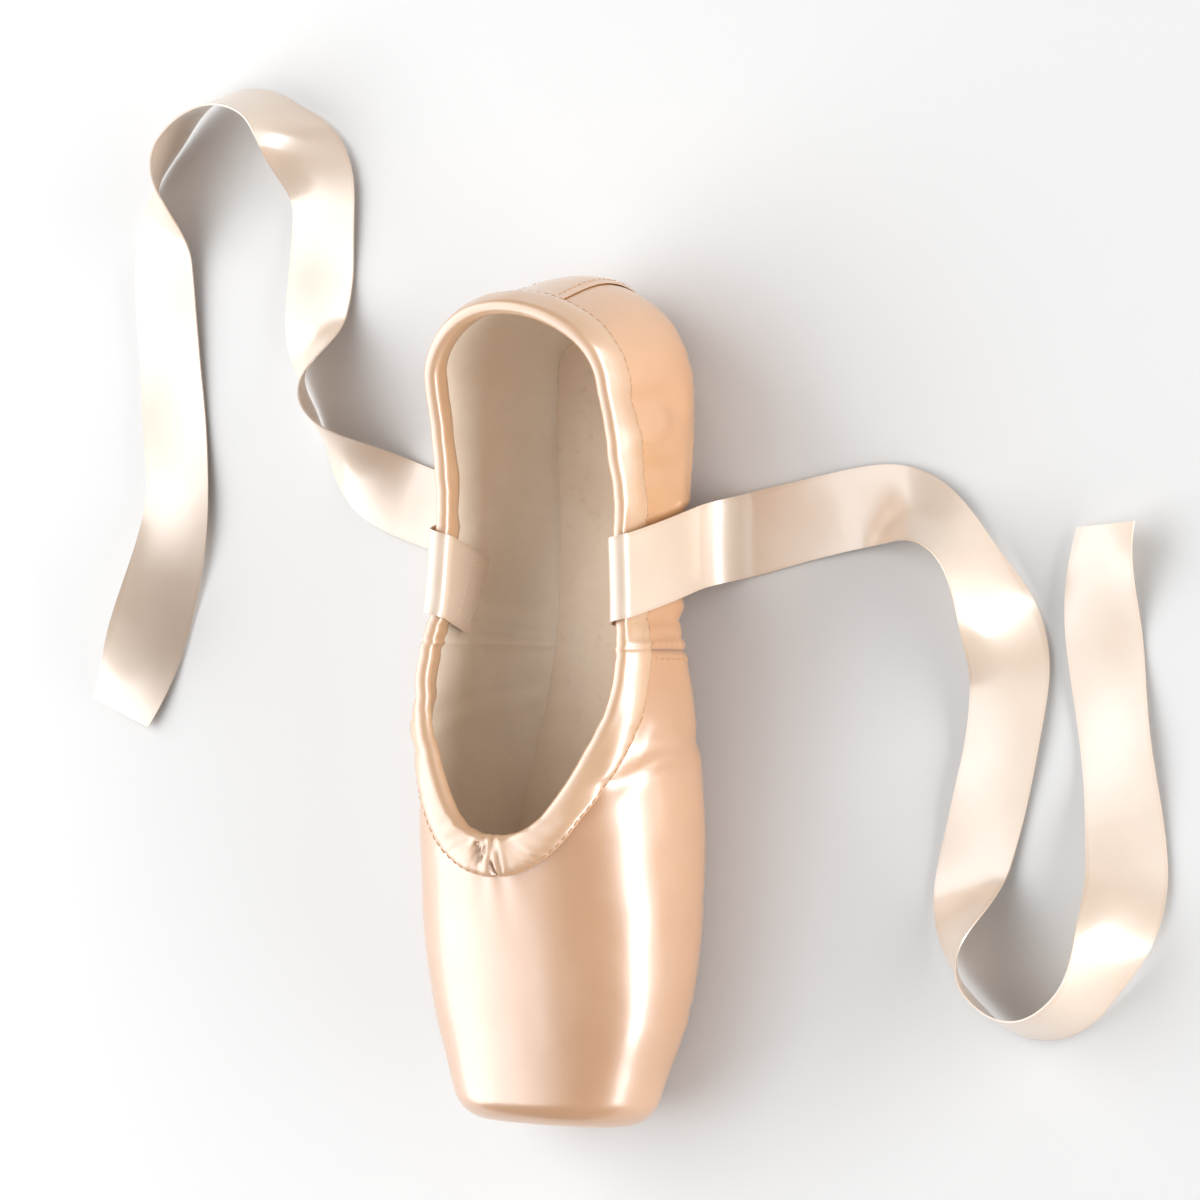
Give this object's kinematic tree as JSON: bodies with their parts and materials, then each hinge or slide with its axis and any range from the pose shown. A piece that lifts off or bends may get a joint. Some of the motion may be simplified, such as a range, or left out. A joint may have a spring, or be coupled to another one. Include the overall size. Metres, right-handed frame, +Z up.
{
  "type": "pointe shoe",
  "caption": "Satin pointe shoe with a stiff box and flat platform, leather outsole, bound collar and loose tie ribbons, standing flat and empty.",
  "frame": {"origin": "on the floor under the ball of the foot, on the flat underside of the outsole", "axes": "+Z up, the toe toward -Y and the heel toward +Y; +X is the wearer's left side"},
  "size_m": [0.3551, 0.2887, 0.0599],
  "materials": {
    "satin": "glossy satin weave",
    "pale_satin": "satin, paler",
    "ribbon": "satin ribbon",
    "leather": "smooth leather with a burnished edge",
    "lining": "plain cotton"
  },
  "bodies": {
    "root": {"outsole": "leather", "upper": "satin", "insole": "lining", "collar_binding": "pale_satin", "heel_strip": "satin", "ribbon_left": "ribbon", "ribbon_right": "ribbon"}
  },
  "joints": []
}
